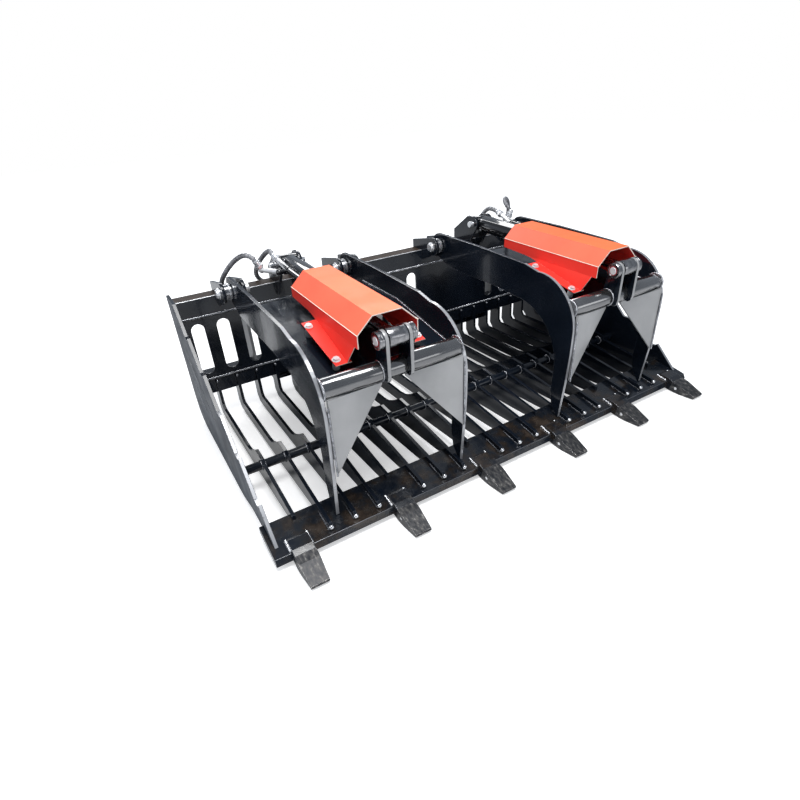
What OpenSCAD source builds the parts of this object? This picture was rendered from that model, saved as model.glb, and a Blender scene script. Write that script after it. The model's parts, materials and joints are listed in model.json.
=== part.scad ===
// Grapple bucket for a compact loader: a skeleton bucket of steel tines with six
// teeth, and two grapple arms over it, each swung by one hydraulic cylinder.
// Units are millimetres. X runs across the bucket, the teeth point to -Y, Z is up.
// The profiles are drawn with Y counted from the tine tips and Z from the ground.

/* [Bucket] */
// Width over the two side plates
bucket_w = 1829; // [1500:1:2150]
// Thickness of the side plates
side_t = 12; // [8:1:16]
// Distance from the tine tips to the rear edge of the side plates
bucket_d = 972; // [900:1:1050]
// Height of the side plates
bucket_h = 543; // [500:1:600]
// Number of notches in the front edge of a side plate
notch_count = 5; // [3:1:7]
// Square section of the top tube
top_tube_w = 70; // [60:1:80]
// Wall of the top tube
top_tube_wall = 6; // [4:1:8]

/* [Tines] */
// Number of tines
tine_count = 21; // [21]
// Thickness of a tine
tine_t = 12; // [8:1:16]
// Diameter of the cross rod
cross_rod_d = 32; // [25:1:36]

/* [Cutting edge and teeth] */
// Depth of the cutting edge
edge_d = 128; // [110:1:150]
// Thickness of the cutting edge
edge_t = 25; // [19:1:28]
// Distance from the outside of a side plate to the middle of the outer tooth
tooth_inset = 69.5; // [50:0.5:90]
// Width of a tooth at its rear
tooth_rear_w = 66; // [56:1:76]
// Width of a tooth at its tip
tooth_tip_w = 55; // [40:1:60]
// Length of a tooth in front of its adapter
tooth_len = 102; // [80:1:110]

/* [Grapples] */
// Distance of each grapple's middle from the middle of the bucket
grapple_x = 467.5; // [460:0.5:470]
// Distance from the middle of a grapple to the middle of an arm
arm_x = 235.5; // [233:0.5:236]
// Thickness of an arm
arm_t = 12; // [8:1:14]
// Diameter of the hinge pins
hinge_pin_d = 30; // [25:1:34]
// Diameter of the tube between the arms
grapple_tube_d = 60; // [50:1:64]
// Thickness of the cover plate
cover_t = 6; // [4:1:8]
// Thickness of the cylinder guard
guard_t = 3; // [2:0.5:5]

/* [Cylinders] */
// Outside diameter of a cylinder barrel
barrel_d = 72; // [64:1:76]
// Bore of a cylinder
bore_d = 60; // [50:1:62]
// Diameter of a piston rod
rod_d = 32; // [25:1:38]
// Diameter of the pins at both ends of a cylinder
cylinder_pin_d = 25; // [20:1:28]
// Diameter of a hydraulic hose
hose_d = 20; // [14:1:24]

/* [Loader mount] */
// Width between the outer faces of the two mount side plates
mount_w = 1155; // [1130:1:1168]
// Distance between the two wedge slots
wedge_slot_spacing = 838; // [800:1:860]
// Width of a wedge slot
wedge_slot_w = 32; // [28:1:36]
// Length of a wedge slot
wedge_slot_len = 76; // [60:1:86]

/* [Hidden] */
$fn = 48;

// Fits
run_fit = 0.05;      // running clearance on the radius of a pin in a bush
weld_gap = 0.1;      // gap on the radius of a welded-in rod or tube
seat_gap = 0.3;      // gap between two curved faces that lie together
open_fit = 3.6;      // room on the radius of the rod eye, where the linkage is open
open_face_gap = 1.5; // gap between faces that pass each other

// Top tube, back plate and lower rail
half_w = bucket_w / 2;
inner_w = bucket_w - 2 * side_t;
tube_inset = 6;
tube_drop = 16;
tube_rear_y = bucket_d - tube_inset;
tube_front_y = tube_rear_y - top_tube_w;
tube_top_z = bucket_h - tube_drop;
tube_bottom_z = tube_top_z - top_tube_w;
plate_t = 8;
plate_inset = 2;
plate_front_y = tube_front_y + plate_inset;
plate_rear_y = plate_front_y + plate_t;
rail_top_z = 193;
rail_h = 63;
rail_bottom_z = rail_top_z - rail_h;
mount_depth = 76;
mount_rear_y = bucket_d + mount_depth;

// Places in the side view, as [distance behind the tine tips, height]
hinge_step = [-88, 29];
base_pin_step = [-74, 88];
hinge_at = [tube_front_y, tube_top_z] + hinge_step;
base_pin_at = [tube_front_y, tube_top_z] + base_pin_step;
edge_at = [-15, 37];
edge_tilt = 10.2;

// Places on a grapple are shares of the way from the tine tips and the ground to its hinge
function on_grapple(share) = [share[0] * hinge_at[0], share[1] * hinge_at[1]];
rod_pin_at = on_grapple([0.0347, 1.0468]);
grapple_tube_at = on_grapple([0.0619, 0.8615]);

edge_rear = [
    edge_at[0] + edge_d * cos(edge_tilt),
    edge_at[1] + edge_d * sin(edge_tilt)
];
edge_rear_low = [
    edge_rear[0] + edge_t * sin(edge_tilt),
    edge_rear[1] - edge_t * cos(edge_tilt)
];
function edge_top_z(y) = edge_at[1] + (y - edge_at[0]) * tan(edge_tilt);

// The middle of the whole assembly's depth is the origin
tooth_joint = -28;
tooth_point = 3;
tooth_tip_y = edge_at[0] + (tooth_joint - tooth_len - tooth_point) * cos(edge_tilt);
centre_y = (tooth_tip_y + mount_rear_y) / 2;

// The cylinder's line at rest
cyl_line = base_pin_at - rod_pin_at;
cyl_len = norm(cyl_line);
cyl_pitch = atan2(cyl_line[1], cyl_line[0]);

// Length by which every cut runs past the face that it cuts
overrun = 2;

// Extrudes a side-view outline across the bucket, centred on x
module across(x, t) {
    translate([x - t / 2, 0, 0])
        rotate([90, 0, 90])
            linear_extrude(t) children();
}

// A round bar or hole that runs across the bucket, centred on x
module bar(x, at, len, d) {
    translate([x - len / 2, at[0], at[1]])
        rotate([0, 90, 0]) cylinder(h = len, d = d);
}

module disc(at, d) {
    translate(at) circle(d = d);
}

// A window with round ends
module oblong(len, w) {
    square([len - w, w], center = true);
    translate([(len - w) / 2, 0]) circle(d = w);
    translate([-(len - w) / 2, 0]) circle(d = w);
}

// Bucket

// Scales a table of shares to points
function sized(shares, size) = [for (p = shares) [p[0] * size[0], p[1] * size[1]]];

// Front edge of a side plate: ramps with short notches between them
notch_shelf = [-36, 0];
notch_riser = [-10, 10];
top_front_share = 0.864;
toe_y = 16;
plate_top_front = [top_front_share * bucket_d, bucket_h];
plate_toe = [toe_y, edge_top_z(toe_y)];
ramp = (plate_toe - plate_top_front - notch_count * (notch_shelf + notch_riser))
    / (notch_count + 1);
ramp_pitch = ramp + notch_shelf + notch_riser;
function notch_points(i) = [
    plate_top_front + i * ramp_pitch + ramp,
    plate_top_front + i * ramp_pitch + ramp + notch_shelf,
    plate_top_front + (i + 1) * ramp_pitch
];

// Underside and rear edge of a side plate, as shares of its depth and height
side_rear_shares = [
    [0.242, 0.059], [0.35, 0.0074], [0.4115, 0], [0.893, 0], [0.9516, 0.026],
    [0.99, 0.088], [1.003, 0.2026], [0.996, 1]
];
module side_plate_outline() {
    polygon(concat(
        [plate_top_front],
        [for (i = [0:notch_count - 1]) for (p = notch_points(i)) p],
        [plate_toe, edge_rear, edge_rear_low],
        sized(side_rear_shares, [bucket_d, bucket_h])
    ));
}

// Narrow slots that follow the slope of the front edge
slot_w = 11;
slot_end_shares = [
    [[0.579, 0.355], [0.794, 0.5985]], [[0.8066, 0.613], [0.827, 0.637]],
    [[0.7335, 0.302], [0.8457, 0.42]], [[0.864, 0.44], [0.885, 0.462]]
];
module side_slots() {
    for (ends = slot_end_shares) {
        s = sized(ends, [bucket_d, bucket_h]);
        d = s[1] - s[0];
        translate((s[0] + s[1]) / 2)
            rotate(atan2(d[1], d[0])) oblong(norm(d) + slot_w, slot_w);
    }
}

module side_plate(side) {
    color("#23272b")
        across(side * (half_w - side_t / 2), side_t)
            difference() {
                side_plate_outline();
                side_slots();
            }
}

// Back plate with upright windows: three towards each side plate, two in the middle
window_w = 50;
window_h = 211;
window_drop = 203;
window_shares = [-0.936, -0.828, -0.719, -0.1425, 0.1425, 0.654, 0.762, 0.871];
module back_plate() {
    color("#1d2024")
        translate([0, plate_rear_y, 0]) rotate([90, 0, 0])
            linear_extrude(plate_t)
                difference() {
                    translate([-inner_w / 2, rail_top_z])
                        square([inner_w, tube_bottom_z - rail_top_z]);
                    for (share = window_shares)
                        translate([share * inner_w / 2, tube_top_z - window_drop])
                            rotate(90) oblong(window_h, window_w);
                }
}

module lower_rail() {
    color("#1d2024")
        translate([-inner_w / 2, tube_front_y, rail_bottom_z])
            cube([inner_w, plate_rear_y - tube_front_y, rail_top_z - rail_bottom_z]);
}

module square_tube(y, z, w, h, wall) {
    across(0, inner_w)
        difference() {
            translate([y, z]) square([w, h]);
            translate([y + wall, z + wall]) square([w - 2 * wall, h - 2 * wall]);
        }
}

module top_tube() {
    color("#1a1d20")
        square_tube(tube_front_y, tube_bottom_z, top_tube_w, top_tube_w, top_tube_wall);
}

rear_tube_h = 80;
rear_tube_w = 60;
rear_tube_wall = 5;
module rear_cross_tube() {
    color("#1a1d20")
        square_tube(plate_rear_y, rail_bottom_z, rear_tube_w, rear_tube_h,
                    rear_tube_wall);
}

// The cutting edge lies tilted, its front edge lower
module on_edge() {
    translate([0, edge_at[0], edge_at[1]]) rotate([edge_tilt, 0, 0]) children();
}

edge_overhang = 14;
edge_bevel = 8;
edge_lip = [12, 18, 5];
edge_nose = [[-edge_lip[0], -edge_t], [-edge_lip[1], edge_bevel - edge_t], [-edge_lip[2], 0]];
module cutting_edge() {
    color("#2a2b2c")
        on_edge()
            across(0, bucket_w + 2 * edge_overhang)
                polygon(concat([[edge_d, 0], [edge_d, -edge_t]], edge_nose));
}

cross_rod_share = 0.3693;
cross_rod_up = 91;
cross_rod_at = [cross_rod_share * bucket_d, cross_rod_up];
module cross_rod() {
    color("#2a2d30") bar(0, cross_rod_at, inner_w, cross_rod_d);
}

// Tines

tine_pitch = (bucket_w - side_t) / (tine_count + 1);
function tine_x(i) = (i - (tine_count + 1) / 2) * tine_pitch;

// Outline of a tine as shares of the bucket's depth and of the tine's own height:
// underside, back end on the rail, inside of the bend and upper edge towards the tip
tine_h = 178;
tine_under_shares = [[0.1646, 0.174], [0.4424, 0.101], [0.8848, 0.039], [0.9516, 0.067]];
tine_rear_y = tube_rear_y - 18;
tine_heel_z = 38;
tine_back_t = 11;
tine_upper_shares = [
    [0.9074, 0.404], [0.8951, 0.326], [0.5679, 0.326], [0.5298, 0.354],
    [0.4918, 0.449], [0.4527, 0.584], [0.4198, 0.697], [0.3601, 0.674],
    [0.3457, 0.579], [0.0062, 0.348]
];
tine_tip_y = -1;
tine_tip_z = 56;
tine_cut_y = 84;

module tine_outline() {
    size = [bucket_d, tine_h];
    polygon(concat(
        [edge_rear_low + [seat_gap, 0]],
        sized(tine_under_shares, size),
        [[tine_rear_y, tine_heel_z], [tine_rear_y, rail_bottom_z],
         [tube_front_y, rail_bottom_z], [tube_front_y, tine_h],
         [tube_front_y - tine_back_t, tine_h]],
        sized(tine_upper_shares, size),
        [[tine_tip_y, tine_tip_z], [tine_tip_y, edge_top_z(tine_tip_y)],
         edge_rear, edge_rear + [seat_gap, 0]]
    ));
}

module tine(i, cut) {
    across(tine_x(i), tine_t)
        difference() {
            tine_outline();
            disc(cross_rod_at, cross_rod_d + 2 * weld_gap);
            if (cut)
                translate([tine_tip_y - overrun, 0])
                    square([tine_cut_y - tine_tip_y + overrun, tine_h]);
        }
}

// Long tines, three between each two teeth
module tines(first, last) {
    color("#202327")
        for (i = [first:last])
            if ((i - 1) % 4 != 0) tine(i, false);
}

// Tines that stop short behind the teeth
module tooth_tines() {
    color("#202327")
        for (i = [1:4:tine_count]) tine(i, true);
}

// Teeth, drawn in the tilted frame of the cutting edge

tooth_count = 6;
tooth_pitch = (bucket_w - 2 * tooth_inset) / (tooth_count - 1);
function tooth_x(i) = (i - (tooth_count + 1) / 2) * tooth_pitch;

pin_in_tooth = [-50, -9];
tooth_pin_d = 12;
tooth_h = 43;
tooth_side_shares = [
    [0, 0.28], [-0.294, 0.256], [-1, -0.023], [-1.03, -0.14],
    [-1, -0.302], [-0.431, -0.628], [0, -0.721]
];
tooth_straight = 25;
nose_w = 34;
nose_len = 64;
nose_gap = 1;
nose_shares = [[0.1, 0.116], [-0.94, 0], [-1, -0.14], [-0.94, -0.256], [0.1, -0.558]];
nose_room_shares = [
    [0.1, 0.14], [-0.94, 0.023], [-1.03, -0.14], [-0.94, -0.28], [0.1, -0.582]
];
adapter_len = 46;
adapter_step = 1;
adapter_face_shares = [0.28, -0.767];
adapter_top_shares = [[-0.17, 0.372], [0.7, 0.302], [1, 0]];
adapter_low_shares = [[0.96, -0.5814], [0.74, -0.79]];

module adapter_outline() {
    size = [adapter_len, tooth_h];
    face_y = tooth_joint + weld_gap;
    polygon(concat(
        [[face_y, adapter_face_shares[0] * tooth_h]],
        sized(adapter_top_shares, size),
        [edge_nose[2], edge_nose[1], edge_nose[0]],
        sized(adapter_low_shares, size),
        [[face_y, adapter_face_shares[1] * tooth_h]]
    ));
}

module tooth_adapters() {
    color("#17191b")
        on_edge()
            for (i = [1:tooth_count])
                difference() {
                    union() {
                        across(tooth_x(i), tooth_rear_w - 2 * adapter_step)
                            adapter_outline();
                        across(tooth_x(i), nose_w)
                            translate([tooth_joint, 0])
                                polygon(sized(nose_shares, [nose_len, tooth_h]));
                    }
                    bar(tooth_x(i), pin_in_tooth, nose_w + overrun,
                        tooth_pin_d + 2 * weld_gap);
                }
}

// A tooth is hollow behind and slides over the adapter's nose
module tooth_plan() {
    polygon([
        [-tooth_rear_w / 2, overrun], [tooth_rear_w / 2, overrun],
        [tooth_rear_w / 2, -tooth_straight],
        [tooth_tip_w / 2, -tooth_len - tooth_point],
        [-tooth_tip_w / 2, -tooth_len - tooth_point],
        [-tooth_rear_w / 2, -tooth_straight]
    ]);
}

module tooth(i) {
    color("#4a4a4b")
        on_edge()
            difference() {
                intersection() {
                    across(tooth_x(i), tooth_rear_w)
                        translate([tooth_joint, 0])
                            polygon(sized(tooth_side_shares, [tooth_len, tooth_h]));
                    translate([tooth_x(i), tooth_joint, -tooth_h])
                        linear_extrude(2 * tooth_h) tooth_plan();
                }
                across(tooth_x(i), nose_w + 2 * nose_gap)
                    translate([tooth_joint, 0])
                        polygon(sized(nose_room_shares, [nose_len, tooth_h]));
                bar(tooth_x(i), pin_in_tooth, tooth_rear_w + overrun,
                    tooth_pin_d + 2 * weld_gap);
            }
}

module tooth_pins() {
    color("#8d9093")
        on_edge()
            for (i = [1:tooth_count])
                bar(tooth_x(i), pin_in_tooth, tooth_rear_w - overrun, tooth_pin_d);
}

// Hinges of the grapples and feet of the cylinders on the top tube

hinge_lug_t = 12;
hinge_lug_x = 38;
hinge_boss_d = 76;
hinge_lug_rise = 36;
hinge_lug_drop = 46;
lug_top_share = [0.16, 0.98];
lug_low_share = [-0.1, -0.99];
module hinge_lug_outline() {
    difference() {
        union() {
            disc(hinge_at, hinge_boss_d);
            polygon([
                hinge_at + lug_top_share * hinge_boss_d / 2,
                [tube_rear_y, tube_top_z + hinge_lug_rise], [tube_rear_y, tube_top_z],
                [tube_front_y, tube_top_z], [tube_front_y, tube_top_z - hinge_lug_drop],
                hinge_at + lug_low_share * hinge_boss_d / 2
            ]);
        }
        disc(hinge_at, hinge_pin_d + 2 * weld_gap);
    }
}

module hinge_lugs(side) {
    color("#26292d")
        for (a = [-arm_x, arm_x]) for (s = [-hinge_lug_x, hinge_lug_x])
            across(side * grapple_x + a + s, hinge_lug_t) hinge_lug_outline();
}

hinge_pin_len = 122;
hinge_head_d = 42;
hinge_head_t = 8;
module hinge_pins() {
    color("#b9bcc0")
        for (side = [-1, 1]) for (a = [-arm_x, arm_x]) {
            x = side * grapple_x + a;
            bar(x, hinge_at, hinge_pin_len, hinge_pin_d);
            bar(x - hinge_lug_x - hinge_lug_t / 2 - hinge_head_t / 2 - seat_gap,
                hinge_at, hinge_head_t, hinge_head_d);
        }
}

cylinder_lug_t = 12;
cylinder_lug_x = 40;
cylinder_boss_d = 66;
cylinder_lug_rise = 46;
cylinder_lug_drop = 50;
cylinder_lug_back = 4;
cylinder_lug_lean = 14;
lug_crown_shares = [[0.45, 0.89], [1.09, 0.94]];
lug_front_share = [-0.94, -0.33];
module cylinder_lug_outline() {
    back_y = tube_rear_y - cylinder_lug_back;
    foot_z = tube_top_z - cylinder_lug_drop;
    difference() {
        union() {
            disc(base_pin_at, cylinder_boss_d);
            polygon([
                base_pin_at + lug_crown_shares[0] * cylinder_boss_d / 2,
                base_pin_at + lug_crown_shares[1] * cylinder_boss_d / 2,
                [back_y, tube_top_z + cylinder_lug_rise], [back_y, tube_top_z],
                [tube_front_y, tube_top_z], [tube_front_y, foot_z],
                [tube_front_y - cylinder_lug_lean, foot_z],
                base_pin_at + lug_front_share * cylinder_boss_d / 2
            ]);
        }
        disc(base_pin_at, cylinder_pin_d + 2 * weld_gap);
    }
}

module cylinder_lugs(side) {
    color("#3a3d40")
        for (s = [-cylinder_lug_x, cylinder_lug_x])
            across(side * grapple_x + s, cylinder_lug_t) cylinder_lug_outline();
}

base_pin_len = 140;
base_pin_shift = 6;
module base_pins() {
    color("#c3c6c9")
        for (side = [-1, 1])
            bar(side * (grapple_x + base_pin_shift), base_pin_at, base_pin_len,
                cylinder_pin_d);
}

// Loader mount behind the back plate

rib_x = 650;
rib_t = 12;
rib_corner = 48;
rib_low_z = 190;
rib_high_z = 400;
module rear_ribs() {
    tube_back_y = plate_rear_y + rear_tube_w;
    color("#55595d")
        for (s = [-1, 1])
            across(s * rib_x, rib_t)
                polygon([
                    [plate_rear_y, rail_bottom_z + rear_tube_h],
                    [tube_back_y, rail_bottom_z + rear_tube_h],
                    [tube_back_y, rail_bottom_z],
                    [mount_rear_y - rib_corner, rail_bottom_z],
                    [mount_rear_y, rib_low_z], [mount_rear_y, rib_high_z],
                    [mount_rear_y - rib_corner, tube_bottom_z],
                    [plate_rear_y, tube_bottom_z]
                ]);
}

// Lip that hangs over the top edge of the loader's plate
lip_down = 27;
lip_drop = 74;
lip_t = 12;
lip_root = [tube_rear_y, tube_top_z - lip_down];
lip_end = [mount_rear_y, lip_root[1] - lip_drop];
lip_pitch = atan2(lip_drop, mount_rear_y - tube_rear_y);
lip_up = [sin(lip_pitch), cos(lip_pitch)];
lip_root_low = lip_root - [0, lip_t / cos(lip_pitch)];
lip_end_low = lip_end - lip_t * lip_up;
module mount_top_lip() {
    color("#1d2024")
        across(0, mount_w) polygon([lip_root, lip_end, lip_end_low, lip_root_low]);
}

mount_plate_t = 12;
mount_foot_z = 78;
module mount_sides() {
    foot_top_z = mount_foot_z + mount_plate_t;
    tube_back_y = plate_rear_y + rear_tube_w;
    color("#1d2024")
        for (s = [-1, 1])
            across(s * (mount_w / 2 - mount_plate_t / 2), mount_plate_t)
                polygon([
                    [plate_rear_y, rail_bottom_z + rear_tube_h],
                    [tube_back_y, rail_bottom_z + rear_tube_h],
                    [tube_back_y, foot_top_z], [mount_rear_y, foot_top_z],
                    [mount_rear_y, lip_end_low[1] - lip_t], lip_end_low, lip_root_low,
                    [tube_rear_y, tube_bottom_z], [plate_rear_y, tube_bottom_z]
                ]);
}

// Foot with the two slots for the loader's wedges
wedge_slot_inset = 36;
module mount_foot() {
    tube_back_y = plate_rear_y + rear_tube_w;
    color("#1d2024")
        difference() {
            union() {
                translate([-mount_w / 2, tine_rear_y, mount_foot_z])
                    cube([mount_w, mount_rear_y - tine_rear_y, mount_plate_t]);
                translate([-mount_w / 2, tube_back_y - mount_plate_t, mount_foot_z])
                    cube([mount_w, mount_plate_t, rail_bottom_z - mount_foot_z]);
            }
            for (s = [-1, 1])
                translate([s * wedge_slot_spacing / 2, mount_rear_y - wedge_slot_inset,
                           mount_foot_z - overrun])
                    linear_extrude(mount_plate_t + 2 * overrun)
                        oblong(wedge_slot_len, wedge_slot_w);
        }
}

// Hoses

// A hose is a tube of many short straight pieces, swept along the points of its route
hose_sides = 10;
function unit(v) = v / norm(v);
function cross_side(d) = unit(cross(d, abs(d[2]) > 0.9 * norm(d) ? [0, 1, 0] : [0, 0, 1]));
function turned(v, d) = unit(v - (v * d) * d);
function frames(p, n, v) = n == len(p) ? [] : let(
        d = n == 0 ? unit(p[1] - p[0])
            : n == len(p) - 1 ? unit(p[n] - p[n - 1])
            : unit(unit(p[n + 1] - p[n]) + unit(p[n] - p[n - 1])),
        u = turned(v, d)
    ) concat([[u, cross(d, u)]], frames(p, n + 1, u));
module sweep(p, d) {
    f = frames(p, 0, cross_side(p[1] - p[0]));
    rings = [for (i = [0:len(p) - 1]) for (k = [0:hose_sides - 1])
        p[i] + d / 2 * (cos(360 * k / hose_sides) * f[i][0]
            + sin(360 * k / hose_sides) * f[i][1])];
    last = (len(p) - 1) * hose_sides;
    polyhedron(
        points = rings,
        faces = concat(
            [[for (k = [hose_sides - 1:-1:0]) k]],
            [[for (k = [0:hose_sides - 1]) last + k]],
            [for (i = [0:len(p) - 2]) for (k = [0:hose_sides - 1]) for (h = [0, 1])
                let(
                    a = i * hose_sides + k,
                    b = i * hose_sides + (k + 1) % hose_sides
                ) h == 0 ? [a, b, b + hose_sides] : [a, b + hose_sides, a + hose_sides]]
        ),
        convexity = 8
    );
}

// Routes from the cylinder's two fittings over the top tube and along the lip to the
// tee block in the middle, drawn for the right-hand side
left_loop = [
    [600.2, 773.5, 640.8], [602.5, 774.1, 645.4], [606.5, 776, 652.5], [612, 783, 663], [620, 793, 670],
    [629, 803, 673], [639, 816, 671], [648, 831, 664], [659, 850, 652],
    [669, 871, 637], [679, 893, 619], [688, 916, 599], [696, 938, 578],
    [702, 957, 558], [703, 970, 541], [699, 979, 526], [690, 984, 513]
];
right_loop = [
    [600.2, 773.5, 640.8], [602.5, 774.1, 645.4], [603, 776, 652], [600.5, 780.5, 661],
    [597.5, 787, 670.5], [595.5, 795.5, 680], [598.5, 807, 690], [609, 821, 697], [627, 837, 696], [647, 852, 688],
    [667, 866, 674], [684, 880, 656], [699, 894, 635], [712, 909, 613],
    [720, 925, 591], [722, 942, 570], [721, 960, 551], [715, 974, 536],
    [706, 982, 521], [695, 985, 510]
];
lip_run = [
    [678, 985, 503], [662, 985, 499], [645, 985, 497.2], [600, 985, 497.2],
    [500, 985, 497.2], [400, 985, 497.2], [300, 985, 497.2], [200, 985, 497.2],
    [100, 985, 497.2], [44.4, 985, 497.2]
];
return_route = [
    [532.1, 765.4, 653.2], [533.6, 777, 656.5], [534, 792, 660.5], [533, 808, 664],
    [532, 825, 665.5], [532, 842, 663.5], [535, 860, 656], [540, 880, 644],
    [546, 900, 629], [552, 920, 612], [557, 940, 594], [560, 960, 574],
    [559, 978, 554], [553, 993, 535], [542, 1003, 518], [526, 1007, 503],
    [507, 1006, 490.5], [484, 1005, 483], [462, 1003.5, 480.6], [400, 1003.5, 480.6],
    [300, 1003.5, 480.6], [200, 1003.5, 480.6], [100, 1003.5, 480.6],
    [44.4, 1003.5, 480.6]
];
module hoses(side) {
    color("#2b2e31")
        mirror([side < 0 ? 1 : 0, 0, 0]) {
            sweep(concat(side < 0 ? left_loop : right_loop, lip_run), hose_d);
            sweep(return_route, hose_d);
        }
}

// Block that joins the hoses of both sides, lying on the lip
tee_block_w = 88;
tee_block_len = 53;
tee_block_h = 22;
module hose_tee_block() {
    color("#9ea2a6")
        translate([0, lip_root[0], lip_root[1]]) rotate([-lip_pitch, 0, 0])
            translate([-tee_block_w / 2, overrun, seat_gap])
                cube([tee_block_w, tee_block_len, tee_block_h]);
}

// Grapples

function arc(c, r, a0, a1, n) = [
    for (i = [0:n]) c + r * [cos(a0 + (a1 - a0) * i / n), sin(a0 + (a1 - a0) * i / n)]
];

// Outline of an arm: back edge, front corner, face down to the tip, throat, underside
hinge_eye_d = 104;
hinge_bush_d = 54;
corner_at = on_grapple([0.2351, 0.7194]);
corner_r = 177;
throat_at = on_grapple([0.3639, 0.4371]);
throat_r = 214;
arm_back_shares = [[0.693, 1.0863], [0.3342, 1.063]];
arm_face_shares = [[0.0173, 0.572], [0.0272, 0.3597], [0.0384, 0.1978]];
arm_tip_y = [36, 44];
arm_tip_gap = 1;
arm_inside_shares = [[0.094, 0.1655], [0.1064, 0.2698]];
arm_under_shares = [[0.4988, 0.8399], [0.7921, 0.8489], [0.9183, 0.8597]];
arc_steps = 16;

module arm_outline() {
    tip_z = edge_top_z(arm_tip_y[1]) + arm_tip_gap;
    disc(hinge_at, hinge_eye_d);
    polygon(concat(
        [hinge_at + [0, hinge_eye_d / 2]],
        [for (p = arm_back_shares) on_grapple(p)],
        arc(corner_at, corner_r, 86, 180, arc_steps),
        [for (p = arm_face_shares) on_grapple(p)],
        [for (y = arm_tip_y) [y, tip_z]],
        [for (p = arm_inside_shares) on_grapple(p)],
        arc(throat_at, throat_r, 180, 92, arc_steps),
        [for (p = arm_under_shares) on_grapple(p)],
        [hinge_at - [0, hinge_eye_d / 2]]
    ));
}

module arm(side, a) {
    x = side * grapple_x + a;
    bush_len = 2 * hinge_lug_x - hinge_lug_t - 2 * open_face_gap;
    color("#16181b")
        difference() {
            union() {
                across(x, arm_t) arm_outline();
                bar(x, hinge_at, bush_len, hinge_bush_d);
            }
            bar(x, hinge_at, bush_len + overrun, hinge_pin_d + 2 * run_fit);
        }
}

between_arms = 2 * arm_x - arm_t;

module grapple_tube(side) {
    color("#2e3134")
        bar(side * grapple_x, grapple_tube_at, between_arms, grapple_tube_d);
}

module tube_hole(side) {
    bar(side * grapple_x, grapple_tube_at, between_arms + overrun,
        grapple_tube_d + 2 * weld_gap);
}

// Cover plate between the arms: it rises from the tube, runs level and bends down
cover_root_step = [24, -11];
cover_bend_share = [0.5, 0.9532];
cover_end_share = [0.8379, 0.955];
cover_end_r = 16;
cover_end_drop = 20;
cover_steps = 6;
module cover_outline() {
    root = grapple_tube_at + cover_root_step;
    bend = on_grapple(cover_bend_share);
    end = on_grapple(cover_end_share);
    turn = end - [cover_end_r, cover_end_r];
    inside_r = cover_end_r - cover_t;
    down = [0, -cover_t];
    polygon(concat(
        [root, bend],
        arc(turn, cover_end_r, 90, 0, cover_steps),
        [end - [0, cover_end_r + cover_end_drop]],
        [end - [cover_t, cover_end_r + cover_end_drop]],
        arc(turn, inside_r, 0, 90, cover_steps),
        [bend + down, root + down]
    ));
}

module cover(side) {
    color("#1b1e21")
        difference() {
            across(side * grapple_x, between_arms) cover_outline();
            tube_hole(side);
        }
}

// Triangular plates that brace the front of the arms under the tube
gusset_t = 8;
gusset_reach = 192;
gusset_swing = 11;
gusset_y = 20;
gusset_shares = [[0.02, 0.831], [1, 0.795], [1, 0.784], [0.02, 0.381]];
module gussets(side) {
    color("#4b4f53")
        difference() {
            for (m = [0, 1])
                translate([side * grapple_x, 0, 0]) mirror([m, 0, 0])
                    translate([-arm_x + arm_t / 2, gusset_y, 0])
                        rotate([0, 0, gusset_swing]) rotate([90, 0, 0])
                            linear_extrude(gusset_t)
                                polygon(sized(gusset_shares, [gusset_reach, hinge_at[1]]));
            for (a = [-arm_x, arm_x])
                translate([side * grapple_x + a - arm_t / 2, -gusset_reach, 0])
                    cube([arm_t, 2 * gusset_reach, hinge_at[1]]);
            tube_hole(side);
        }
}

// Two straps that carry the rod pin, welded on the front of the tube
rod_lug_t = 12;
rod_lug_x = 38;
rod_boss_d = 54;
rod_lug_foot_shares = [
    [-1.6, -0.05], [-1.47, -0.58], [-1.13, -0.85], [-0.53, -0.77], [0.8, 0], [0.6, 0.97]
];
module rod_lugs(side) {
    foot = sized(rod_lug_foot_shares, [grapple_tube_d / 2, grapple_tube_d / 2]);
    color("#303336")
        difference() {
            for (s = [-rod_lug_x, rod_lug_x])
                across(side * grapple_x + s, rod_lug_t)
                    difference() {
                        union() {
                            disc(rod_pin_at, rod_boss_d);
                            polygon(concat(
                                [rod_pin_at - [rod_boss_d / 2, 0]],
                                [for (p = foot) grapple_tube_at + p],
                                [rod_pin_at + [rod_boss_d / 2, 0]]
                            ));
                        }
                        disc(rod_pin_at, cylinder_pin_d + 2 * weld_gap);
                    }
            tube_hole(side);
        }
}

rod_pin_len = 112;
module rod_pin(side) {
    color("#b9bcc0")
        bar(side * grapple_x, rod_pin_at, rod_pin_len, cylinder_pin_d);
}

// Folded guard over the cylinder, open below: its sides flare out above the cover
// and end in two flanges, bolted through spacers
guard_ahead = 32;
guard_above = 61;
guard_len = 481;
guard_top_slope = 1.5;
guard_top_half = 48;
guard_half = 98;
guard_chamfer = 47;
guard_side_h = 40;
flare_h = 70;
flare_w = 21;
flare_start = 80;
flare_len = 277;
flare_rise = 25;
side_rise = 9;
flange_out = 150;
flange_in = 100;
flange_front = 34;
flange_len = 244;
flange_slope = 12.16;
flange_step = [46, -88.3];
flange_at = rod_pin_at + flange_step;
guard_front_y = rod_pin_at[0] + guard_ahead;
guard_top_z = rod_pin_at[1] + guard_above;
function flange_z(y) = flange_at[1] + (y - flange_at[0]) * tan(flange_slope);
module on_flange() {
    translate([0, flange_at[0], flange_at[1]]) rotate([flange_slope, 0, 0]) children();
}

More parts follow.
